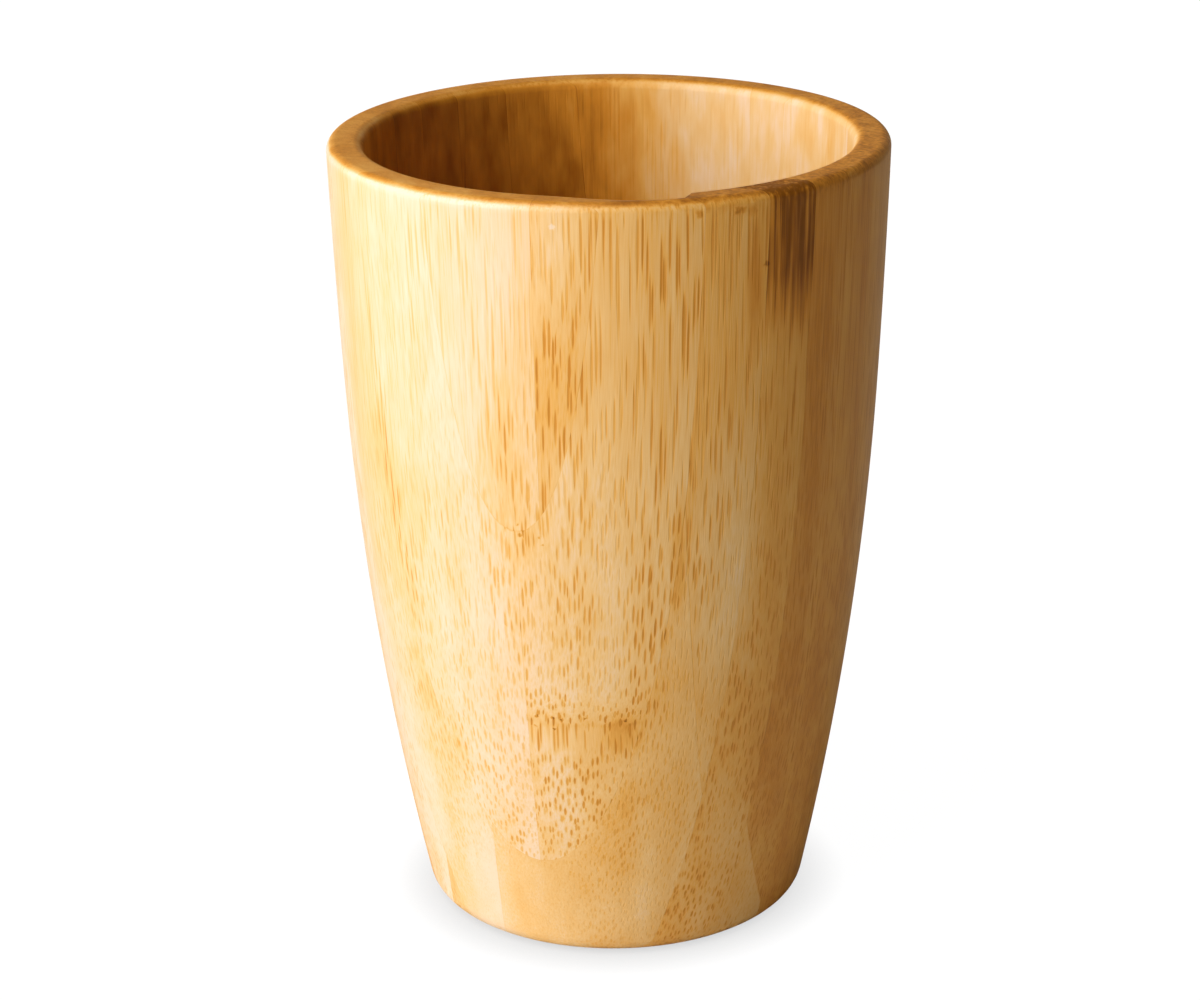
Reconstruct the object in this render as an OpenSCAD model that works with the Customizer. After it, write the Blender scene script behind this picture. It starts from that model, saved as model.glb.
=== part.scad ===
// Bamboo cup, turned and bored from a block of glued bamboo strips.
// The fibres stand upright. The plies are stacked from front (-Y) to back (+Y), each ply is a row
// of strips side by side along X, and every strip is trimmed by the turned outside and the hollow.
// Millimetres, +Z up, origin at the centre of the underside.

/* [Side] */
// Height of the cup
cup_h = 110; // [98:1:130]
// Diameter over the rim
rim_d = 76; // [71:0.5:84]
// Height of the shoulder, where the round lower side passes into the straighter upper side
shoulder_h = 77; // [62:1:90]
// How much closer to the axis the side is at the shoulder than at the rim
shoulder_inset = 1.28; // [0.9:0.02:2.4]
// Diameter that the side would have at the table if its lower edge were sharp
foot_d = 52.8; // [46:0.2:58]
// Lean of the side at the shoulder, as a share of the way from the upper to the lower chord's lean
shoulder_lean_share = 0.12; // [0.05:0.01:0.6]
// Radius of the rounded lower edge
foot_round = 3.5; // [1:0.1:6]

/* [Hollow and rim] */
// Thickness of the wall, square to the side
wall_t = 5; // [3.5:0.1:7]
// Thickness of the floor
floor_t = 8; // [5:0.5:12]
// Radius between the hollow's wall and its floor
corner_round = 9; // [4:0.5:14]
// Radius of the rim's outer edge
lip_outer_round = 1.3; // [0.5:0.1:1.8]
// Radius of the rim's inner edge
lip_inner_round = 1.5; // [0.5:0.1:1.6]

/* [Lamination] */
// Number of plies from front to back
ply_count = 13; // [9:1:15]
// What the turning leaves of the front ply at the rim
front_ply_t = 2; // [1:0.1:4]
// What the turning leaves of the back ply at the rim
back_ply_t = 2.5; // [1:0.1:4]
// Number of strips that fill the width of the block
strips_across = 3; // [2:1:4]
// What the lathe takes off each side of the block
turning_allowance = 4.25; // [1:0.25:8]
// Narrowest edge strip that the turning leaves
strip_least_w = 2; // [1:0.25:4]

/* [Smoothness] */
// Facets round the cup
round_facets = 120; // [48:12:240]
// Straight steps along the lower side
lower_steps = 12; // [6:1:24]
// Straight steps along the upper side
upper_steps = 4; // [2:1:12]
// Straight steps round the hollow's corner
corner_steps = 8; // [4:1:16]
// Straight steps round each small edge
edge_steps = 5; // [3:1:12]

/* [Hidden] */
rim_r = rim_d / 2;
foot_r = foot_d / 2;
block_r = rim_r + turning_allowance;

// The side is two arcs that share one tangent at the shoulder
foot_point = [foot_r, 0];
shoulder_point = [rim_r - shoulder_inset, shoulder_h];
rim_point = [rim_r, cup_h];
upper_chord_lean = lean(shoulder_point, rim_point);
lower_chord_lean = lean(foot_point, shoulder_point);
shoulder_lean = upper_chord_lean + shoulder_lean_share * (lower_chord_lean - upper_chord_lean);
shoulder_normal = [-cos(shoulder_lean), sin(shoulder_lean)];
lower_r = tangent_arc_r(shoulder_point, shoulder_normal, foot_point);
upper_r = tangent_arc_r(shoulder_point, shoulder_normal, rim_point);
lower_c = shoulder_point + lower_r * shoulder_normal;
upper_c = shoulder_point + upper_r * shoulder_normal;

// Centres of the four rounded edges, each tangent to a side arc and to a level face
foot_c = point_at_height(lower_c, lower_r - foot_round, foot_round);
lip_outer_c = point_at_height(upper_c, upper_r - lip_outer_round, cup_h - lip_outer_round);
lip_inner_c = point_at_height(upper_c, upper_r - wall_t + lip_inner_round, cup_h - lip_inner_round);
corner_c = point_at_height(lower_c, lower_r - wall_t - corner_round, floor_t + corner_round);

// Directions from the side arcs' centres to the ends of their stretches
foot_a = direction(lower_c, foot_c);
lower_shoulder_a = direction(lower_c, shoulder_point);
upper_shoulder_a = direction(upper_c, shoulder_point);
lip_outer_a = direction(upper_c, lip_outer_c);
lip_inner_a = direction(upper_c, lip_inner_c);
corner_a = direction(lower_c, corner_c);

// Half of the cup's section, counter-clockwise from the middle of the underside
section = concat(
    [[0, 0]],
    arc(foot_c, foot_round, -90, foot_a, edge_steps),
    arc(lower_c, lower_r, foot_a, lower_shoulder_a, lower_steps),
    arc(upper_c, upper_r, upper_shoulder_a, lip_outer_a, upper_steps),
    arc(lip_outer_c, lip_outer_round, lip_outer_a, 90, edge_steps),
    [lip_outer_c + [0, lip_outer_round]],
    arc(lip_inner_c, lip_inner_round, 90, 180 + lip_inner_a, edge_steps),
    arc(upper_c, upper_r - wall_t, lip_inner_a, upper_shoulder_a, upper_steps),
    arc(lower_c, lower_r - wall_t, lower_shoulder_a, corner_a, lower_steps),
    arc(corner_c, corner_round, corner_a, -90, corner_steps),
    [corner_c - [0, corner_round]],
    [[0, floor_t]]
);

// The whole plies between the front and back ones, and the sides of every ply from front to back
ply_t = (rim_d - front_ply_t - back_ply_t) / (ply_count - 2);
glue_planes = [for (k = [0:ply_count - 2]) -rim_r + front_ply_t + k * ply_t];
ply_faces = concat([-block_r], glue_planes, [block_r]);

// Where a seam of each ply lies, as a share of a strip's width to the right of the axis
seam_shares = [0.125, 0, -0.25, 0.4, -0.1, 0.5, 0.35, -0.35, 0.45, 0, -0.4, 0.35, -0.1];
strip_w = 2 * block_r / strips_across;

// Natural colours of the strips, from sapwood to darker heartwood
bamboo_tones = ["#e3bd7b", "#d9ac66", "#eccd93", "#cf9f5c", "#dfb671"];

// Lean from upright of the line from one point up to another
function lean(low, high) = atan2(high[0] - low[0], high[1] - low[1]);

// Direction of a point as seen from a centre
function direction(c, p) = atan2(p[1] - c[1], p[0] - c[0]);

// Radius of the arc that starts at p, where n is its unit normal, and passes through q
function tangent_arc_r(p, n, q) = (q - p) * (q - p) / (2 * (q - p) * n);

// The outer point at height z on the circle of radius r about c
function point_at_height(c, r, z) = [c[0] + sqrt(pow(r, 2) - pow(z - c[1], 2)), z];

// Points along an arc about c, without its end, which starts the next stretch
function arc(c, r, from, to, steps) = [
    for (k = [0:steps - 1])
        let (a = from + (to - from) * k / steps)
            c + r * [cos(a), sin(a)]
];

// Distance from the axis to the nearest part of a ply
function ply_near(ply) =
    ply_faces[ply] < 0 && ply_faces[ply + 1] > 0
        ? 0
        : min(abs(ply_faces[ply]), abs(ply_faces[ply + 1]));

// Half the width of the turned cup in a ply
function ply_reach(ply) = sqrt(pow(rim_r, 2) - pow(ply_near(ply), 2));

// Seams between the strips of a ply, from left to right
function seams(ply) = [
    for (k = [-strips_across:strips_across])
        let (x = (k + seam_shares[ply % len(seam_shares)]) * strip_w)
            if (abs(x) <= ply_reach(ply) - strip_least_w) x
];

// The seams and the block's faces, which are the sides of the strips
function strip_faces(ply) = concat([-block_r], seams(ply), [block_r]);

// Plies are numbered from the front and strips from the left
function strip_name(ply, place) =
    str("ply_", ply + 1 < 10 ? "0" : "", ply + 1, "_strip_", place + 1);

// The whole turned and bored form
module turned_cup() {
    rotate_extrude($fn = round_facets)
        polygon(section);
}

// One strip as it is glued into the block, before the turning
module strip_blank(ply, place) {
    sides = strip_faces(ply);
    strip_size = [
        sides[place + 1] - sides[place],
        ply_faces[ply + 1] - ply_faces[ply],
        cup_h + 2 * turning_allowance
    ];
    translate([sides[place], ply_faces[ply], -turning_allowance])
        cube(strip_size);
}

// One strip as it is in the cup
module strip(ply, place) {
    color(bamboo_tones[(2 * ply + place) % len(bamboo_tones)])
        intersection() {
            strip_blank(ply, place);
            turned_cup();
        }
}

for (ply = [0:ply_count - 1])
    for (place = [0:len(strip_faces(ply)) - 2])
        strip(ply, place);
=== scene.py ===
import math
import bmesh
import bpy
import numpy as np
from mathutils import Matrix, Vector


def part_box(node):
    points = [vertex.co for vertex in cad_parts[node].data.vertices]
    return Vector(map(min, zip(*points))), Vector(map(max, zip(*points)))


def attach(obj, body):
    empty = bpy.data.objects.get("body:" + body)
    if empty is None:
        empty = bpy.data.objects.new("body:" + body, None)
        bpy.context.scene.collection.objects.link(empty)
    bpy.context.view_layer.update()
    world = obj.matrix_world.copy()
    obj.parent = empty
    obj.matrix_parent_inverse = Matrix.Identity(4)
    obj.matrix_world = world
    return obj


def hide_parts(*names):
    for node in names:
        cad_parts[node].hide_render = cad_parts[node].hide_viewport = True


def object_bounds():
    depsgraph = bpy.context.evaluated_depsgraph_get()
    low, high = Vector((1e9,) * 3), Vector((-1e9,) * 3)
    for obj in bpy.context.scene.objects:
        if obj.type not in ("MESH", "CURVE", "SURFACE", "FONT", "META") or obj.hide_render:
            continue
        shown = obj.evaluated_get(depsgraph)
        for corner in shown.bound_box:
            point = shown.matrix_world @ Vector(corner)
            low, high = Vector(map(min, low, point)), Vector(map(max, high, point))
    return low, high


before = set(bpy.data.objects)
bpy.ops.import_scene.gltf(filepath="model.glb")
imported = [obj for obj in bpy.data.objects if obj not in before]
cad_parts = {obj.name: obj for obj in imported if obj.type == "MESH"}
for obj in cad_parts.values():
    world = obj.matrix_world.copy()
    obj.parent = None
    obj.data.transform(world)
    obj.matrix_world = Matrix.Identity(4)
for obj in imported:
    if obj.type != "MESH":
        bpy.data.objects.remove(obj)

cadBox = [list(corner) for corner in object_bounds()]

# Bamboo cup, turned from a block of glued strips, on a white table. One object stands for each strip.
# Meshes are in metres, +Z up: the fibres stand upright, plies are stacked along Y, strips along X.

cup = dict(
    height=cadBox[1][2],
    rimRadius=0.038,
    shoulderHeight=0.077,     # where the round lower side meets the straighter upper side
    shoulderInset=0.00128,    # how far the shoulder lies inside the rim's radius
    footRadius=0.0264,        # where the side would meet the table without its rounded edge
    leanShare=0.12,           # lean at the shoulder, between the upper and the lower chord
    footRound=0.0035,
    wall=0.005,
    floor=0.008,
    cornerRound=0.009,
    outerLip=0.0013,
    innerLip=0.0015,
    innerShare=(0.66, 0.92),  # the part of the wall's thickness where the hollow's look sets in
    around=720,               # points on each ring
    sideStep=0.0012,          # distance between rings on the sides
    edgeStep=0.00025,         # distance between rings on the rim's edges
    flatStep=0.004,           # distance between rings under the foot and on the floor
    snap=0.000004,            # corners this close to a saw cut count as on it
)


# An arc about a centre from one direction to another, as rows of radius and height:
# centre + radius * (cos angle, sin angle) in equal steps
def arcPoints(centre, radius, start, end, step):
    count = max(2, math.ceil(abs(end - start) * radius / step))
    angles = np.linspace(start, end, count + 1)
    return centre + radius * np.stack([np.cos(angles), np.sin(angles)], 1)


# A straight stretch between two points in equal steps
def straightPoints(start, end, step):
    count = max(1, math.ceil(np.linalg.norm(end - start) / step))
    return start + (end - start) * np.linspace(0, 1, count + 1)[:, None]


# Half the cup's section: two arcs tangent at the shoulder, offset inwards by the wall,
# joined by small arcs at the foot, at both edges of the rim and in the hollow's corner
def cupProfile(c):
    def leanOf(low, high):
        return math.atan2(high[0] - low[0], high[1] - low[1])

    def bearing(centre, point):
        return math.atan2(point[1] - centre[1], point[0] - centre[0])

    def atHeight(centre, radius, z):
        return np.array([centre[0] + math.sqrt(radius**2 - (z - centre[1])**2), z])

    foot = np.array([c["footRadius"], 0.0])
    shoulder = np.array([c["rimRadius"] - c["shoulderInset"], c["shoulderHeight"]])
    rim = np.array([c["rimRadius"], c["height"]])
    upperLean = leanOf(shoulder, rim)
    lean = upperLean + c["leanShare"] * (leanOf(foot, shoulder) - upperLean)
    inward = np.array([-math.cos(lean), math.sin(lean)])

    def tangentRadius(point):
        away = point - shoulder
        return away @ away / (2 * away @ inward)

    lowR, highR = tangentRadius(foot), tangentRadius(rim)
    lowC, highC = shoulder + lowR * inward, shoulder + highR * inward
    footC = atHeight(lowC, lowR - c["footRound"], c["footRound"])
    outerC = atHeight(highC, highR - c["outerLip"], c["height"] - c["outerLip"])
    innerC = atHeight(highC, highR - c["wall"] + c["innerLip"], c["height"] - c["innerLip"])
    cornerC = atHeight(lowC, lowR - c["wall"] - c["cornerRound"], c["floor"] + c["cornerRound"])
    down, up = -math.pi / 2, math.pi / 2
    lowShoulder, highShoulder = bearing(lowC, shoulder), bearing(highC, shoulder)
    footA, cornerA = bearing(lowC, footC), bearing(lowC, cornerC)
    outerA, innerA = bearing(highC, outerC), bearing(highC, innerC)
    side, edge, flat = c["sideStep"], c["edgeStep"], c["flatStep"]
    stretches = [
        straightPoints(np.zeros(2), footC - [0, c["footRound"]], flat),
        arcPoints(footC, c["footRound"], down, footA, side / 2),
        arcPoints(lowC, lowR, footA, lowShoulder, side),
        arcPoints(highC, highR, highShoulder, outerA, side),
        arcPoints(outerC, c["outerLip"], outerA, up, edge),
        straightPoints(outerC + [0, c["outerLip"]], innerC + [0, c["innerLip"]], edge),
        arcPoints(innerC, c["innerLip"], up, math.pi + innerA, edge),
        arcPoints(highC, highR - c["wall"], innerA, highShoulder, side),
        arcPoints(lowC, lowR - c["wall"], lowShoulder, cornerA, side),
        arcPoints(cornerC, c["cornerRound"], cornerA, down, side),
        straightPoints(cornerC - [0, c["cornerRound"]], np.array([0, c["floor"]]), flat),
    ]
    return np.concatenate([stretches[0]] + [s[1:] for s in stretches[1:]])


# The profile carried round the axis: every point but the two on the axis becomes a ring,
# at (radius * cos angle, radius * sin angle, height)
def turnedMesh(profile, around):
    rings = profile[1:-1]
    angles = np.linspace(0, 2 * math.pi, around, endpoint=False)
    radius, z = rings[:, :1], rings[:, 1:]
    grid = np.stack([radius * np.cos(angles), radius * np.sin(angles), z + 0 * angles], -1)
    ends = [[0, 0, profile[0][1]], [0, 0, profile[-1][1]]]
    places = np.concatenate([grid.reshape(-1, 3), ends])
    first = np.arange(len(rings) - 1)[:, None] * around
    j = np.arange(around)
    k = (j + 1) % around
    quads = np.stack([first + j, first + k, first + around + k, first + around + j], -1).reshape(-1, 4)
    last = (len(rings) - 1) * around
    base, top = len(places) - 2, len(places) - 1
    fans = np.concatenate([
        np.stack([base + 0 * j, k, j], -1),
        np.stack([last + j, last + k, top + 0 * j], -1),
    ])
    corners = np.concatenate([quads.ravel(), fans.ravel()])
    starts = np.concatenate([np.arange(len(quads)) * 4, len(quads) * 4 + np.arange(len(fans)) * 3])
    mesh = bpy.data.meshes.new("turned")
    mesh.vertices.add(len(places))
    mesh.vertices.foreach_set("co", places.ravel())
    mesh.loops.add(len(corners))
    mesh.loops.foreach_set("vertex_index", corners)
    mesh.polygons.add(len(starts))
    mesh.polygons.foreach_set("loop_start", starts)
    mesh.polygons.foreach_set("use_smooth", np.ones(len(starts), bool))
    mesh.update(calc_edges=True)
    return mesh


# The places of a mesh's points, as rows of x, y and z
def pointsOf(mesh):
    places = np.empty(len(mesh.vertices) * 3)
    mesh.vertices.foreach_get("co", places)
    return places.reshape(-1, 3)


# Marks each point as outside, 0, or in the hollow, 1, rising across the rim's inner edge:
# (share of the wall's thickness from outside - start) / (full - start), kept between 0 and 1
def markInside(mesh, c):
    x, y, z = pointsOf(mesh).T
    profile = cupProfile(c)
    top = np.argmax(profile[:, 1])
    outer = np.interp(z, profile[1:top, 1], profile[1:top, 0])
    start, full = c["innerShare"]
    inside = np.clip(((outer - np.hypot(x, y)) / c["wall"] - start) / (full - start), 0, 1)
    inside[z < c["floor"] / 2] = 0
    layer = mesh.attributes.new("inside", "FLOAT", "POINT")
    layer.data.foreach_set("value", inside)


# Splits a closed shape by the plane where one coordinate has a given value. Both sides are closed
# again with a flat face inside sharp edges, and the lower side is returned first
def splitAt(whole, axis, value, snap):
    normal = Vector([float(i == axis) for i in range(3)])
    halves = []
    for low in (True, False):
        half = whole.copy()
        parts = half.verts[:] + half.edges[:] + half.faces[:]
        cut = bmesh.ops.bisect_plane(half, geom=parts, dist=snap, plane_co=normal * value,
                                     plane_no=normal, clear_outer=low, clear_inner=not low)
        edges = [part for part in cut["geom_cut"] if isinstance(part, bmesh.types.BMEdge)]
        for face in bmesh.ops.holes_fill(half, edges=edges, sides=0)["faces"]:
            face.smooth = False
            for edge in face.edges:
                edge.smooth = False
        halves.append(half)
    return halves


# The strips of each ply from left to right, by their names, and the box of each strip
def readPlies():
    plies = {}
    for name in sorted(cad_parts):
        plies.setdefault(name.split("_strip_")[0], []).append(name)
    boxes = {name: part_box(name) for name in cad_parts}
    return plies, boxes


# The turned shape is sawn into plies along Y, and each ply into strips along X
def makeStrips(c):
    alongX, alongY = 0, 1
    whole = bmesh.new()
    mesh = turnedMesh(cupProfile(c), c["around"])
    markInside(mesh, c)
    whole.from_mesh(mesh)
    bpy.data.meshes.remove(mesh)
    plies, boxes = readPlies()
    strips = {}
    names = list(plies)
    for i, ply in enumerate(names):
        slab = whole
        if i < len(names) - 1:
            back = max(boxes[name][1].y for name in plies[ply])
            slab, whole = splitAt(whole, alongY, back, c["snap"])
        for j, name in enumerate(plies[ply]):
            strip = slab
            if j < len(plies[ply]) - 1:
                strip, slab = splitAt(slab, alongX, boxes[name][1].x, c["snap"])
            bmesh.ops.recalc_face_normals(strip, faces=strip.faces[:])
            strips[name] = bpy.data.meshes.new(name)
            strip.to_mesh(strips[name])
            strip.free()
    return strips, plies, boxes


wear = dict(
    strips=("ply_02_strip_2", "ply_03_strip_2"),
    depth=0.0006,             # how far the rim's inner edge is worn down
    angles=(-84, -60),        # seen from above, degrees from +X, where the wear starts and is full
    across=(0.25, 0.85),      # part of the wall's thickness, from outside, where it starts and is full
    heights=(0.104, 0.1095),  # and going up
)


# Rises smoothly from 0 to 1 between two values: 3 t squared - 2 t cubed
def smooth(value, start, full):
    t = np.clip((value - start) / (full - start), 0, 1)
    return t * t * (3 - 2 * t)


# The inner edge of the rim has worn down on two strips, and ends in a small step at their seam:
# height - depth * rise round the rim * rise across it * rise towards the top
def wearRim(strips, w, c):
    for name in w["strips"]:
        mesh = strips[name]
        places = pointsOf(mesh)
        x, y, z = places.T
        across = (c["rimRadius"] - np.hypot(x, y)) / c["wall"]
        worn = smooth(np.degrees(np.arctan2(y, x)), *w["angles"])
        worn = worn * smooth(across, *w["across"]) * smooth(z, *w["heights"])
        places[:, 2] = z - w["depth"] * worn
        mesh.vertices.foreach_set("co", places.ravel())
        mesh.update()


noiseMiddle = 0.5                                 # the value that Blender's noise wanders about
softNoise, mixedNoise, fineNoise = 1.0, 2.0, 3.0  # how many finer layers lie on its first one


# A socket that can be reckoned with: an expression on values adds its Math nodes
class Wire:
    def __init__(self, tree, socket=None):
        self.tree = tree
        self.socket = socket

    # Any node: its type, its settings, the values or links of its sockets, and the output wanted
    def node(self, kind, settings, inputs, output=0):
        made = self.tree.nodes.new("ShaderNode" + kind)
        for name, value in settings.items():
            if name == "stops":
                self.setStops(made.color_ramp.elements, value)
            else:
                setattr(made, name, value)
        for key, value in inputs.items():
            if isinstance(value, Wire):
                self.tree.links.new(value.socket, made.inputs[key])
            else:
                made.inputs[key].default_value = value
        return None if output is None else Wire(self.tree, made.outputs[output])

    # A ramp's stops, each a position and a colour
    def setStops(self, elements, stops):
        while len(elements) < len(stops):
            elements.new(1.0)
        for element, (position, colour) in zip(elements, stops):
            element.position = position
            element.color = (*colour, 1)

    # Another output of the same node
    def output(self, name):
        return Wire(self.tree, self.socket.node.outputs[name])

    def maths(self, operation, *others):
        return self.node("Math", {"operation": operation}, dict(enumerate((self,) + others)))

    def flipped(self, operation, other):
        return self.node("Math", {"operation": operation}, {0: other, 1: self})

    def __add__(self, other):
        return self.maths("ADD", other)

    def __radd__(self, other):
        return self.flipped("ADD", other)

    def __sub__(self, other):
        return self.maths("SUBTRACT", other)

    def __rsub__(self, other):
        return self.flipped("SUBTRACT", other)

    def __mul__(self, other):
        return self.maths("MULTIPLY", other)

    def __rmul__(self, other):
        return self.flipped("MULTIPLY", other)

    def __truediv__(self, other):
        return self.maths("DIVIDE", other)

    # Rises smoothly from 0 at one value to 1 at another, which may be the lower one
    def fade(self, start, end):
        return self.node("MapRange", {"interpolation_type": "SMOOTHSTEP"},
                         {"Value": self, "From Min": start, "From Max": end})

    # One at a centre, falling off like a bell: e to the power -((value - centre) / reach) squared
    def bell(self, centre, reach):
        off = (self - centre) / reach
        return (off * off * -1).maths("EXPONENT")

    def vector(self, operation, other):
        return self.node("VectorMath", {"operation": operation}, {0: self, 1: other})

    # A number worked out from vectors, such as a length or a distance
    def measure(self, operation, *others):
        return self.node("VectorMath", {"operation": operation}, dict(enumerate((self,) + others)), "Value")

    def plus(self, other):
        return self.vector("ADD", other)

    def scaled(self, size):
        return self.vector("MULTIPLY", (size,) * 3)

    # Its X, Y and Z
    def parts(self):
        split = self.node("SeparateXYZ", {}, {0: self})
        return split, split.output("Y"), split.output("Z")

    # A blend of two colours, which a Mix node has at its sockets 6 and 7 and its output 2
    def blend(self, share, first, second):
        return self.node("Mix", {"data_type": "RGBA"}, {0: share, 6: first, 7: second}, 2)

    # Soft noise at a place, with its own grain length along each axis
    def noise(self, lengths, detail, output="Fac"):
        at = self.vector("DIVIDE", lengths)
        return self.node("TexNoise", {}, {"Vector": at, "Scale": 1.0, "Detail": detail}, output)

    # The same noise about nought, as a number
    def waver(self, lengths, detail):
        return self.noise(lengths, detail) - noiseMiddle

    # And as a vector
    def wander(self, lengths):
        return self.noise(lengths, softNoise, "Color").vector("SUBTRACT", (noiseMiddle,) * 3)

    # Round cells on a plane: the distance to the middle of the cell, in cells, and its random numbers
    def cells(self, spacing, chance):
        at = self.vector("DIVIDE", (*spacing, 1))
        found = self.node("TexVoronoi", {"voronoi_dimensions": "2D"},
                          {"Vector": at, "Scale": 1.0, "Randomness": chance}, "Distance")
        return found, found.output("Color").parts()


# Starts the nodes of a material or a world from nothing
def emptyTree(owner):
    owner.use_nodes = True
    owner.node_tree.nodes.clear()
    return Wire(owner.node_tree)


# The wood's colours by ripeness, from pale pith through gold to the darkest skin and char
ripeness = [
    (0.00, (0.78, 0.595, 0.450)),
    (0.10, (0.76, 0.540, 0.330)),
    (0.20, (0.75, 0.480, 0.205)),
    (0.40, (0.70, 0.355, 0.072)),
    (0.60, (0.58, 0.230, 0.020)),
    (0.80, (0.33, 0.110, 0.005)),
    (1.00, (0.10, 0.030, 0.002)),
]

# The strips' wood, with lengths and heights in millimetres. A pair of heights or of places along X
# is where something starts and where it is full, and riper is what is added to the ripeness
grain = dict(
    unit=1000,                         # millimetres in a metre
    ripest=0.90,                       # nothing but the pores is darker
    depth=dict(bolder=0.3, riper=0.06),  # what a ply gains from its pith side to its skin side
    sway=((12, 12, 60), 1.6),          # slow wander of the fibres: its lengths along each axis, its size
    ripple=((3, 3, 15), 0.20),         # quick wander of the fibres
    fray=(3, 3, 12),                   # how far the slow wander frays the patches, along each axis
    bend=(51, 0.0017),                 # below this height the fibres curve towards the back, this much
    threads=((0.22, 0.16, 30), 0.20),  # fine lines along the fibres: lengths and depth
    bands=((3.5, 3.5, 90), 0.20),      # broad bands along the fibres
    blotch=((6, 6, 9), 0.14),          # cloudy blotches across them
    footBlotch=((66, 12), 0.20),       # and how much cloudier the foot is
    bundle=dict(
        cell=(0.62, 0.50),             # spacing of the fibre bundles along X and Y
        chance=0.85,                   # how unevenly they are spaced
        radius=(0.17, 0.13),           # in cells: the least, and what chance adds
        soft=0.14,                     # softness of the edge, in cells
        riper=0.34,
        ripest=0.63,                   # a bundle makes no wood riper than this
        faintest=0.35,                 # boldness of the faintest bundle, the boldest by chance having 1
        boldest=1.15,                  # limit of the boldness that a strip and its patches give
        clump=((7, 4, 40), (0.38, 0.66)),  # noise that bunches them together
        clumpShare=0.40,               # how much of the boldness the bunching decides
        halo=(0.7, 0.15),              # ground round bunched bundles: its reach in cells, how much riper
        top=((107.6, 108.8), 0.7),     # where they fade towards the rim's top, and how far
    ),
    hair=dict(
        cell=(0.33, 0.17),             # spacing of the thin hairs between the bundles
        chance=1.0,
        edge=(0.4, 0.1),               # from outside to inside, in cells
        riper=0.09,
    ),
    knot=dict(
        reach=3.0,                     # height of the band where the fibres bend round a knot
        lift=0.5,                      # how far they bend
        riper=0.08,
        bolder=0.55,
        scar=(0.45, 3, 0.05),          # the ring scar in the band: half its height, its wander, riper
    ),
    glue=dict(
        width=0.12,                    # of a line, on the strip's own side of the seam
        riper=0.13,
        faintest=0.2,                  # what is left of a glue line where it fades
        clear=((1.5, 1.5, 14), (0.40, 0.62)),  # noise that makes it clear
        slant=0.15,                    # the least slant at which a glue plane meets the side
    ),
    stain=dict(
        heights=(86, 104),
        streaks=((0.6, 0.6, 16), 2.8, 0.75),  # lengths, contrast and middle
        blotch=0.6,                    # its cloudiness
        dull=2.2,                      # how much less coat it has
    ),
    rim=dict(
        top=(109.3, 109.9),                # heights of the flat top, which is end grain
        ripe=0.60,                         # its ripeness
        blotch=0.4,                        # its cloudiness
        speckle=((0.8, 0.6, 1.2), 0.30),   # its dots: lengths and depth
        edge=((107.6, 109.0), (14, 25)),   # the rough part of the outer edge, in Z and in X
        edgeRiper=0.05,
        edgeSpeckle=0.34,
        paintedEdgeHighlight=((108.2, 108.9), (8, -6)),  # the paler part of the outer edge on the lit left, a painted highlight, in Z and in X
        paintedEdgeHighlightRiper=-0.05,
    ),
    hollow=dict(
        ripe=(0.69, 0.17),             # on the left, painted shade, and on the right, painted light
        across=(-19.5, 2),             # between these X
        deep=((107, 84), 0.08),        # riper further down: painted shade
        palest=0.08,                   # nothing in there is paler
        flame=((2.8, 2.8, 9), 0.50),   # flame-like mottling
        cloudier=0.06,                 # how much stronger the blotches are in there
        lessBundle=0.75,               # shares by which these are weaker in there
        lessHair=0.6,
        lessThread=0.7,
        lessBand=0.5,
        lessCoat=0.9,
    ),
    pore=dict(
        rough=((0.5, 0.5, 0.5), 0.7),  # noise that frays the pores: lengths and size
        edge=(1.5, 0.3),               # from outside to inside, in radii
    ),
    finish=dict(
        roughness=0.52,
        bundleRougher=0.08,
        endRougher=0.1,
        specular=0.2,
        coat=0.5,
        coatRoughness=0.34,
        bump=(0.25, 0.0002),           # strength, and distance in metres
        heights=(0.3, -0.35, -0.3),    # of threads, bundles and glue lines
    ),
)

# Small dark pores: x, y, z, radius and how much riper
pores = [
    (3.5, -33.0, 38.4, 0.26, 0.5),
    (4.7, -32.8, 38.2, 0.24, 0.5),
    (3.6, -32.7, 36.7, 0.22, 0.4),
    (1.3, -33.1, 38.4, 0.20, 0.4),
    (1.1, -32.9, 36.9, 0.20, 0.3),
    (7.9, -32.3, 38.7, 0.20, 0.4),
    (13.0, -30.5, 38.3, 0.28, 0.4),
    (0.6, -35.9, 65.0, 0.28, 0.4),
    (0.4, -36.0, 66.5, 0.20, 0.3),
    (3.3, -35.8, 64.9, 0.24, 0.3),
    (3.6, -35.7, 63.9, 0.18, 0.25),
    (29.8, -23.1, 100.5, 0.35, 0.3),
    (6.4, -37.4, 107.0, 0.36, -0.25),
    (23.2, -30.0, 108.2, 0.55, 0.25),
    (27.0, -26.6, 108.0, 0.45, 0.30),
    (27.6, -26.0, 108.1, 0.45, 0.25),
    (28.5, -25.0, 107.9, 0.70, 0.15),
]
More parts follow.
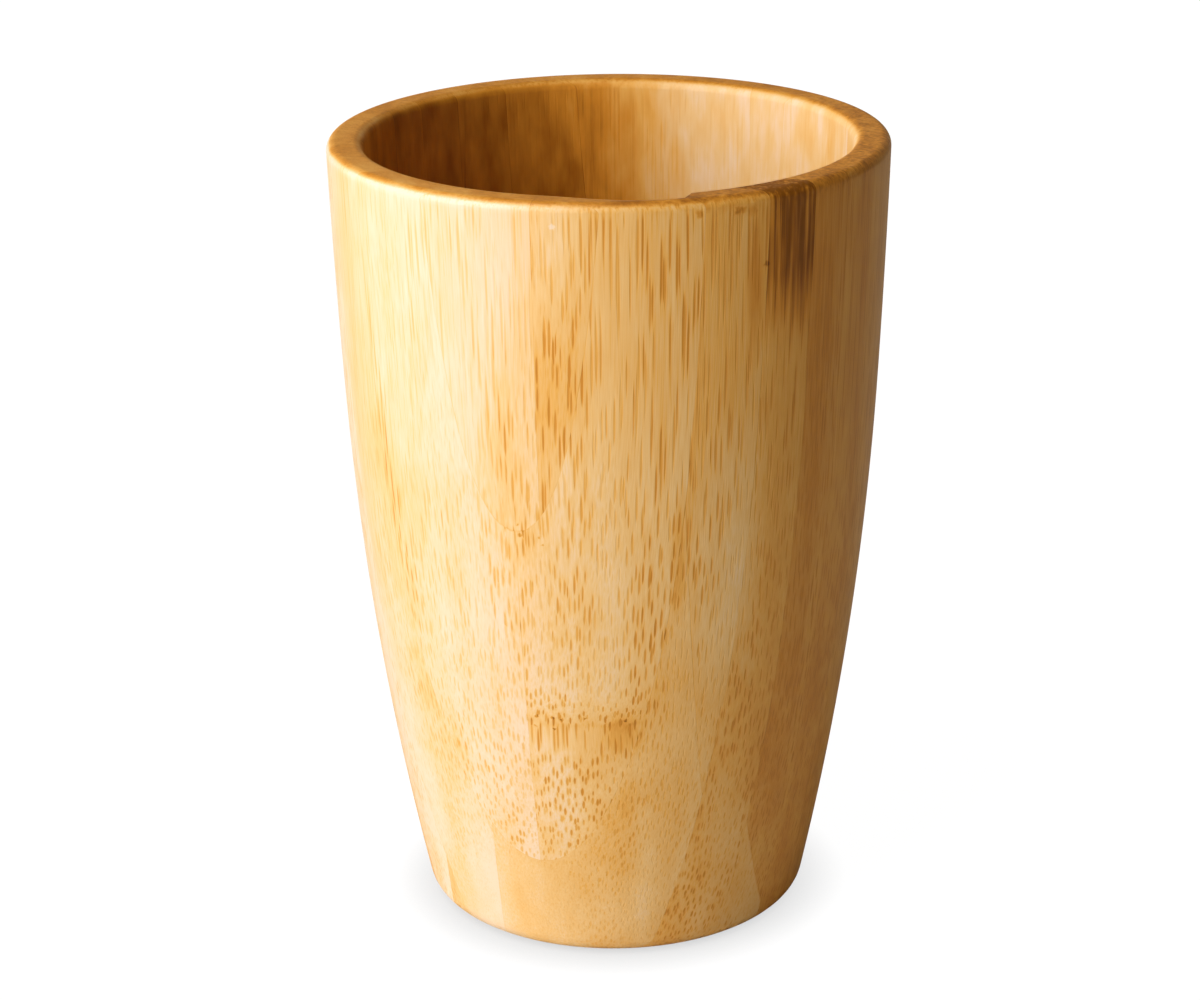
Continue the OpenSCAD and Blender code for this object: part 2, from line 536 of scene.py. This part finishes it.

# Patches of variation in the wood, the last one a painted highlight along the lit left side: how far they
# reach across and along the fibres, the share of the reach that is full, how much riper they are and how much
# bolder their bundles
patches = [
    dict(at=(7.2, -36.7, 86.0), reach=(6.5, 15), core=0.2, riper=0.11, bolder=0.45),
    dict(at=(2.0, -36.5, 76.0), reach=(7.5, 20), core=0.4, riper=0.04, bolder=0.20),
    dict(at=(-14.0, -35.0, 101.0), reach=(17, 36), core=0.75, riper=-0.07, bolder=-0.25),
    dict(at=(17.0, -33.5, 98.0), reach=(12, 40), core=0.3, riper=0.10, bolder=0.10),
    dict(at=(20.4, -29.5, 63.8), reach=(1.7, 13), core=0.3, riper=0.18, bolder=0.30),
    dict(at=(24.5, -25.5, 62.0), reach=(8, 24), core=0.3, riper=-0.13, bolder=0.00),
    dict(at=(14.8, -30.0, 41.5), reach=(4.5, 8), core=0.3, riper=0.05, bolder=0.40),
    dict(at=(12.9, -30.5, 36.0), reach=(3, 5), core=0.3, riper=0.16, bolder=0.30),
    dict(at=(28.6, -23.9, 98.0), reach=(1.9, 13), core=0.3, riper=0.16, bolder=0.00),
    dict(at=(31.0, -21.5, 100.0), reach=(5, 14), core=0.3, riper=0.12, bolder=0.30),
    dict(at=(33.0, -18.6, 100.0), reach=(2.4, 13), core=0.3, riper=0.16, bolder=0.30),
    dict(at=(-1.0, -31.5, 24.0), reach=(4, 20), core=0.4, riper=0.03, bolder=0.00),
    dict(at=(3.2, -30.0, 22.0), reach=(5.5, 16), core=0.3, riper=-0.06, bolder=0.00),
    dict(at=(9.5, -29.0, 24.0), reach=(6, 18), core=0.3, riper=0.06, bolder=0.15),
    dict(at=(17.9, -23.2, 14.0), reach=(6, 22), core=0.4, riper=0.09, bolder=0.20),
    dict(at=(22.0, -18.0, 8.0), reach=(15, 28), core=0.3, riper=-0.10, bolder=-0.10),
    dict(at=(-6.0, -28.0, 5.0), reach=(14, 14), core=0.4, riper=-0.05, bolder=-0.40),
    dict(at=(-11.0, -30.0, 30.0), reach=(26, 44), core=0.4, riper=-0.07, bolder=0.00),
    # Paler along the lit left side of the cup: painted highlight
    dict(at=(-37.0, -14.0, 85.0), reach=(12, 60), core=0.3, riper=-0.13, bolder=-0.20),
]


# The fibres' own coordinates: upright, but wandering a little, lifted round a knot and curved
# towards the back low down, so that the bundles end on the side there as dots
def bendFibres(own, sway, ripple, knotBand, z, g):
    below, curve = g["bend"]
    low = (below - z).maths("MAXIMUM", 0.0)
    lift = knotBand * g["knot"]["lift"] + low * low * curve
    fibre = own.plus(sway.scaled(g["sway"][1])).plus(ripple.scaled(g["ripple"][1]))
    return fibre.plus(own.node("CombineXYZ", {}, {"Y": lift}))


# Adds what the patches at a place make of the ripeness and of the bundles' boldness
def addPatches(place, riper, bolder):
    for patch in patches:
        across, along = patch["reach"]
        off = place.vector("SUBTRACT", patch["at"]).vector("DIVIDE", (across, across, along))
        share = off.measure("LENGTH").fade(1.0, patch["core"])
        riper = riper + share * patch["riper"]
        bolder = bolder + share * patch["bolder"]
    return riper, bolder


# How much riper the pores make a place
def poreRipeness(place, p):
    outer, inner = p["edge"]
    pits = 0
    for *middle, radius, riper in pores:
        away = place.measure("DISTANCE", middle)
        pits = away.fade(radius * outer, radius * inner) * riper + pits
    return pits


# Glue lines at the sides of the strip: the distance to the nearest glue plane, measured along the
# cup's surface, fades over the line's width
def glueLines(own, x, y, left, right, middle, half, s):
    toSeam = (x - left).maths("MINIMUM", right - x)
    around = (x * x + y * y).maths("SQRT")
    slant = (x.maths("ABSOLUTE") / around).maths("MAXIMUM", s["slant"])
    toPly = (half - (y - middle).maths("ABSOLUTE")) / slant
    lengths, clear = s["clear"]
    shown = own.noise(lengths, softNoise).fade(*clear) * (1 - s["faintest"]) + s["faintest"]
    return toSeam.maths("MINIMUM", toPly).fade(s["width"], 0.0) * shown


# One wood for all strips: every mark adds to the ripeness at a point, which the colours then follow
def bambooMaterial(g):
    material = bpy.data.materials.new("bamboo")
    make = emptyTree(material)
    bundles, hairs, knots, stains = g["bundle"], g["hair"], g["knot"], g["stain"]
    rim, bore, finish = g["rim"], g["hollow"], g["finish"]

    def attribute(name, output="Vector"):
        return make.node("Attribute", {"attribute_name": name}, {}, output)

    place = make.node("TexCoord", {}, {}, "Object").scaled(g["unit"])
    x, y, z = place.parts()
    tone, boldness, skinSide = attribute("stripLook").parts()
    left, right, middle = attribute("stripEdges").parts()
    knot, stain, half = attribute("stripKnot").parts()
    inside = attribute("inside", "Fac")
    outside = 1 - inside
    depth = (y - middle) * skinSide / (half * 2)  # from -0.5 at the pith side to 0.5 at the skin side

    own = place.plus(attribute("stripShift"))
    sway, ripple = own.wander(g["sway"][0]), own.wander(g["ripple"][0])
    knotBand = z.bell(knot, knots["reach"])
    fibre = bendFibres(own, sway, ripple, knotBand, z, g)
    frayed = place.plus(sway.vector("MULTIPLY", g["fray"]))
    riper, bolder = addPatches(frayed, knotBand * knots["riper"], knotBand * knots["bolder"])
    lengths, size = g["pore"]["rough"]
    pits = poreRipeness(place.plus(own.wander(lengths).scaled(size)), g["pore"])
    glue = glueLines(own, x, y, left, right, middle, half, g["glue"])

    # Where the rim's top is, the rough part of its outer edge, and the paler part of that edge on the lit
    # left, which is a painted highlight
    end = z.fade(*rim["top"]) * outside
    edge = z.fade(*rim["edge"][0]) * x.fade(*rim["edge"][1]) * outside
    paintedEdgeHighlight = z.fade(*rim["paintedEdgeHighlight"][0]) * x.fade(*rim["paintedEdgeHighlight"][1]) * (outside - end)

    # Bundles of fibres, as dots on the plane across them, and hairs between them
    lengths, bunched = bundles["clump"]
    clump = own.noise(lengths, softNoise).fade(*bunched)
    rich = boldness * (clump * bundles["clumpShare"] + (1 - bundles["clumpShare"]))
    rich = rich * (depth * g["depth"]["bolder"] + 1) + bolder
    rich = rich.maths("MINIMUM", bundles["boldest"]) * (1 - inside * bore["lessBundle"])
    near, (size, shade, _) = fibre.cells(bundles["cell"], bundles["chance"])
    least, byChance = bundles["radius"]
    bundle = (size * byChance + least - near).fade(-bundles["soft"] / 2, bundles["soft"] / 2)
    heights, faded = bundles["top"]
    mark = bundle * (shade * (1 - bundles["faintest"]) + bundles["faintest"]) * rich
    mark = mark * (1 - z.fade(*heights) * faded)
    reach, haloRiper = bundles["halo"]
    halo = near.fade(reach, 0.0) * rich * clump
    nearHair, (_, shadeHair, _) = fibre.cells(hairs["cell"], hairs["chance"])
    hair = nearHair.fade(*hairs["edge"]) * shadeHair * (1 - inside * bore["lessHair"])

    # Threads and bands along the fibres, blotches across them, and streaks in the stain
    lengths, threadDepth = g["threads"]
    threads = fibre.waver(lengths, mixedNoise) * (1 - inside * bore["lessThread"])
    lengths, bandDepth = g["bands"]
    bands = own.waver(lengths, softNoise) * (1 - inside * bore["lessBand"])
    lengths, blotchDepth = g["blotch"]
    blotch = own.waver(lengths, mixedNoise)
    heights, cloudier = g["footBlotch"]
    cloud = z.fade(*heights) * cloudier + blotchDepth + inside * bore["cloudier"]
    lengths, contrast, streakMiddle = stains["streaks"]
    streaks = fibre.waver(lengths, mixedNoise) * contrast + blotch * stains["blotch"] + streakMiddle
    stained = stain * z.fade(*stains["heights"]) * streaks

    # The ground without its bundles: the strip's tone, partly painted light and shade, or that of the hollow,
    # riper on the left and further down as painted shade and paler on the right as painted light, or that of
    # the rim's top
    shadeLeft, litRight = bore["ripe"]
    hollow = x.fade(*bore["across"]) * (litRight - shadeLeft) + shadeLeft
    heights, deepShade = bore["deep"]
    hollow = hollow + z.fade(*heights) * deepShade
    ground = tone + (hollow - tone) * inside + depth * g["depth"]["riper"]
    ground = ground + (blotch * rim["blotch"] + rim["ripe"] - ground) * end
    ground = ground + riper + blotch * cloud + bands * bandDepth
    marked = ground + mark * bundles["riper"] + halo * haloRiper + hair * hairs["riper"]
    ripe = ground.maths("MAXIMUM", marked.maths("MINIMUM", bundles["ripest"]))

    # Then what lies over both
    lengths, flameDepth = bore["flame"]
    ripe = ripe + fibre.waver(lengths, fineNoise) * inside * flameDepth + threads * threadDepth
    lengths, endSpeckle = rim["speckle"]
    speckle = own.waver(lengths, mixedNoise) * (end * endSpeckle + edge * rim["edgeSpeckle"])
    # The paler part of the rim's outer edge on the left is a painted highlight
    ripe = ripe + glue * g["glue"]["riper"] + speckle + edge * rim["edgeRiper"] + paintedEdgeHighlight * rim["paintedEdgeHighlightRiper"]
    scarReach, scarWander, scarRiper = knots["scar"]
    scar = (z - knot + ripple.parts()[1] * scarWander).bell(0.0, scarReach)
    ripe = ripe + scar * scarRiper + stained
    ripe = ripe.maths("MAXIMUM", inside * bore["palest"]).maths("MINIMUM", g["ripest"]) + pits
    colour = make.node("ValToRGB", {"stops": ripeness}, {0: ripe})

    threadHeight, bundleHeight, glueHeight = finish["heights"]
    height = threads * threadHeight + bundle * bundleHeight + glue * glueHeight
    strength, distance = finish["bump"]
    bump = make.node("Bump", {}, {"Strength": strength, "Distance": distance, "Height": height})
    shader = make.node("BsdfPrincipled", {}, {
        "Base Color": colour,
        "Roughness": finish["roughness"] + mark * finish["bundleRougher"] + end * finish["endRougher"],
        "Specular IOR Level": finish["specular"],
        "Coat Weight": finish["coat"] * (1 - inside * bore["lessCoat"] - stained * stains["dull"]),
        "Coat Roughness": finish["coatRoughness"],
        "Normal": bump,
    })
    make.node("OutputMaterial", {}, {"Surface": shader}, None)
    return material


# How the strips that the front view shows look: tone from pale to ripe, boldness of the bundles,
# the side of the skin, the height of a knot if there is one, and how far the strip is stained. The tones,
# pale on the left strips and ripe on the right ones, are partly the strips' own and partly painted light on
# the left and painted shade on the right
looks = {
    "ply_01_strip_1": dict(tone=0.15, bold=0.85, skin=-1),
    "ply_01_strip_2": dict(tone=0.22, bold=0.95, skin=-1),
    "ply_02_strip_1": dict(tone=0.13, bold=0.80, skin=1),
    "ply_02_strip_2": dict(tone=0.17, bold=0.95, skin=1, knot=37.5),
    "ply_03_strip_1": dict(tone=0.15, bold=0.45, skin=-1),
    "ply_03_strip_2": dict(tone=0.26, bold=0.35, skin=-1),
    "ply_03_strip_3": dict(tone=0.33, bold=0.65, skin=-1),
    "ply_04_strip_1": dict(tone=0.06, bold=0.80, skin=1),
    "ply_04_strip_2": dict(tone=0.30, bold=0.65, skin=1),
    "ply_04_strip_3": dict(tone=0.39, bold=0.80, skin=1, stain=0.34),
    "ply_05_strip_1": dict(tone=0.00, bold=0.70, skin=-1),
    "ply_05_strip_3": dict(tone=0.35, bold=0.70, skin=-1),
    "ply_05_strip_4": dict(tone=0.52, bold=0.80, skin=-1),
    "ply_06_strip_1": dict(tone=0.10, bold=0.60, skin=1),
    "ply_06_strip_3": dict(tone=0.50, bold=0.75, skin=1),
    "ply_07_strip_1": dict(tone=0.17, bold=0.60, skin=-1),
    "ply_07_strip_3": dict(tone=0.46, bold=0.80, skin=-1),
    "ply_08_strip_3": dict(tone=0.48, bold=0.75, skin=1),
}

# What chance gives the other strips, within these ranges
chances = dict(
    seed=11,
    shift=400,           # how far a strip's noise is moved along each axis
    tone=(0.20, 0.42),
    bold=(0.5, 0.95),
    skin=[-1, 1],
    knot=(-200, 100),
    noKnot=-500,         # a height far below the cup, where a knot doesn't show
    blockSide=100,       # X of the block's turned-off side, too far out for a glue line
)


# What the material reads of each strip, the same at all its points
def stripAttributes(strips, plies, boxes, unit, c):
    rng = np.random.default_rng(c["seed"])
    names = list(plies)
    backs = [max(boxes[name][1].y for name in plies[ply]) * unit for ply in names]
    half = (backs[1] - backs[0]) / 2
    for i, ply in enumerate(names):
        middle = backs[i] - half if i < len(names) - 1 else backs[i - 1] + half
        seams = [boxes[name][1].x * unit for name in plies[ply][:-1]]
        sides = [-c["blockSide"], *seams, c["blockSide"]]
        for j, name in enumerate(plies[ply]):
            shift = rng.uniform(-c["shift"], c["shift"], 3)
            look = dict(tone=rng.uniform(*c["tone"]), bold=rng.uniform(*c["bold"]),
                        skin=rng.choice(c["skin"]), knot=rng.uniform(*c["knot"]), stain=0)
            if name in looks:
                look.update({"knot": c["noKnot"], **looks[name]})
            values = {
                "stripShift": shift,
                "stripLook": (look["tone"], look["bold"], look["skin"]),
                "stripEdges": (sides[j], sides[j + 1], middle),
                "stripKnot": (look["knot"], look["stain"], half),
            }
            mesh = strips[name]
            for key, value in values.items():
                layer = mesh.attributes.new(key, "FLOAT_VECTOR", "POINT")
                layer.data.foreach_set("vector", np.tile(value, len(mesh.vertices)))


strips, plies, boxes = makeStrips(cup)
print("sawn strips:", len(strips))
wearRim(strips, wear, cup)
print("worn rim:", *wear["strips"])
stripAttributes(strips, plies, boxes, grain["unit"], chances)
print("strips' own tones and shifts set")
bamboo = bambooMaterial(grain)
print("bamboo material, nodes:", len(bamboo.node_tree.nodes))
for name, mesh in strips.items():
    piece = bpy.data.objects.new(name + "_wood", mesh)
    bpy.context.scene.collection.objects.link(piece)
    mesh.materials.append(bamboo)
    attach(piece, "root")
    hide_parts(name)
print("pieces in place:", len(strips))

# The camera stands where the photograph was taken: the cup's middle lies a little right of and
# below the middle of the 1200 x 1000 frame, and the top leans slightly left
view = dict(
    azimuth=20.5,
    elevation=20.17,
    distance=0.452,
    aimHeight=0.055,          # the point on the cup's axis that lies at the pixel below
    aimPixel=(612.4, 516.6),
    framePixels=(1200, 1000),
    roll=0.61,
    lens=96.6,
    sensor=36,
)


# The direction from the cup to a place at an azimuth and an elevation, azimuth 0 being in front
def towards(azimuth, elevation):
    az, el = math.radians(azimuth), math.radians(elevation)
    return Vector((math.sin(az) * math.cos(el), -math.cos(az) * math.cos(el), math.sin(el)))


# Stands the camera off the aimed point, turned so that the point lies at its pixel, and rolls it
def placeCamera(v):
    away = towards(v["azimuth"], v["elevation"])
    az = math.radians(v["azimuth"])
    right = Vector((math.cos(az), math.sin(az), 0))
    up = away.cross(right)
    place = Vector((0, 0, v["aimHeight"])) + away * v["distance"]
    perPixel = v["sensor"] / v["lens"] / v["framePixels"][0]
    offRight = (v["aimPixel"][0] - v["framePixels"][0] / 2) * perPixel
    offDown = (v["aimPixel"][1] - v["framePixels"][1] / 2) * perPixel
    forward = (-away - right * offRight + up * offDown).normalized()
    side = forward.cross(up).normalized()
    top = side.cross(forward)
    turn = Matrix((side, top, -forward)).transposed().to_4x4()
    data = bpy.data.cameras.new("camera")
    data.sensor_width = v["sensor"]
    data.lens = v["lens"]
    camera = bpy.data.objects.new("camera", data)
    camera.matrix_world = Matrix.Translation(place) @ turn @ Matrix.Rotation(-math.radians(v["roll"]), 4, "Z")
    bpy.context.scene.collection.objects.link(camera)
    bpy.context.scene.camera = camera


placeCamera(view)
print("camera in place")

studio = dict(
    tableHalf=3.0,
    tableTint=(0.85, 0.80, 0.62, 1),   # what the table gives back to the cup's matt wood
    tableGloss=(0.42, 0.40, 0.34, 1),  # and what it gives back to its gloss
    tableSeen=0.99,                    # the table's own brightness for the camera
    tableShade=(0.05, 0.05, 0.05, 1),  # how much of the lamps' light and shadow the camera sees on it
    contact=(0.007, 0.36),             # reach and depth of the soft shadow round the foot
    contactSamples=8,
    around=(0.026, 0.20),              # the surroundings as the cup's matt wood and its gloss see them
    aroundTint=(1.0, 0.80, 0.56, 1),
    white=(1, 1, 1, 1),                # the background for the camera
)

# Soft lamps round the cup. One that doesn't shine shows in no gloss
lamps = dict(
    key=dict(azimuth=-31, elevation=24, distance=1.2, size=(0.8, 0.8),
             power=14.6, tint=(1, 1, 1), shine=True),
    side=dict(azimuth=-82, elevation=10, distance=1.0, size=(1.0, 0.3),
              power=2.7, tint=(1, 1, 1), shine=True),
    top=dict(azimuth=-34, elevation=60, distance=1.0, size=(0.5, 0.5),
             power=4.6, tint=(1, 0.97, 0.92), shine=True),
    back=dict(azimuth=200, elevation=14, distance=1.2, size=(1.2, 0.6),
              power=9.0, tint=(1, 0.96, 0.9), shine=False),
    fill=dict(azimuth=70, elevation=4, distance=1.0, size=(0.9, 0.3),
              power=0.35, tint=(1, 0.76, 0.50), shine=False),
)


# The camera sees the table nearly white, with the cup's shadow and a soft one round its foot
def makeTable(s):
    h = s["tableHalf"]
    mesh = bpy.data.meshes.new("table")
    mesh.from_pydata([(-h, -h, 0), (h, -h, 0), (h, h, 0), (-h, h, 0)], [], [(0, 1, 2, 3)])
    table = bpy.data.objects.new("table", mesh)
    bpy.context.scene.collection.objects.link(table)
    paper = bpy.data.materials.new("paper")
    make = emptyTree(paper)
    seen = make.node("LightPath", {}, {}, "Is Camera Ray")
    given = make.blend(seen.output("Is Glossy Ray"), s["tableTint"], s["tableGloss"])
    diffuse = make.node("BsdfDiffuse", {}, {"Color": make.blend(seen, given, s["tableShade"])})
    reach, deep = s["contact"]
    openness = make.node("AmbientOcclusion", {"samples": s["contactSamples"]}, {"Distance": reach}, "AO")
    glow = make.node("Emission", {}, {"Strength": seen * s["tableSeen"] * (openness * deep + (1 - deep))})
    both = make.node("AddShader", {}, {0: diffuse, 1: glow})
    make.node("OutputMaterial", {}, {"Surface": both}, None)
    mesh.materials.append(paper)


# The world is white for the camera, and much dimmer for the cup
def makeWorld(s):
    world = bpy.data.worlds.new("studio")
    bpy.context.scene.world = world
    make = emptyTree(world)
    path = make.node("LightPath", {}, {}, "Is Camera Ray")
    matt, gloss = s["around"]
    seen = path.maths("MAXIMUM", path.output("Is Transmission Ray"))
    strength = matt + path.output("Is Glossy Ray") * (gloss - matt) + seen * (1 - matt)
    tint = make.blend(seen, s["aroundTint"], s["white"])
    background = make.node("Background", {}, {"Color": tint, "Strength": strength})
    make.node("OutputWorld", {}, {"Surface": background}, None)


# A flat rectangular lamp that faces the cup's middle
def softbox(name, s):
    data = bpy.data.lights.new(name, "AREA")
    data.shape = "RECTANGLE"
    data.size, data.size_y = s["size"]
    data.energy = s["power"]
    data.color = s["tint"]
    lamp = bpy.data.objects.new(name, data)
    middle = Vector((0, 0, cup["height"] / 2))
    lamp.location = middle + towards(s["azimuth"], s["elevation"]) * s["distance"]
    lamp.visible_glossy = s["shine"]
    lamp.rotation_euler = (middle - lamp.location).to_track_quat("-Z", "Y").to_euler()
    bpy.context.scene.collection.objects.link(lamp)


makeTable(studio)
makeWorld(studio)
for name, lamp in lamps.items():
    softbox(name, lamp)
print("studio lit, lamps:", len(lamps))

bpy.context.scene.view_settings.view_transform = "Standard"
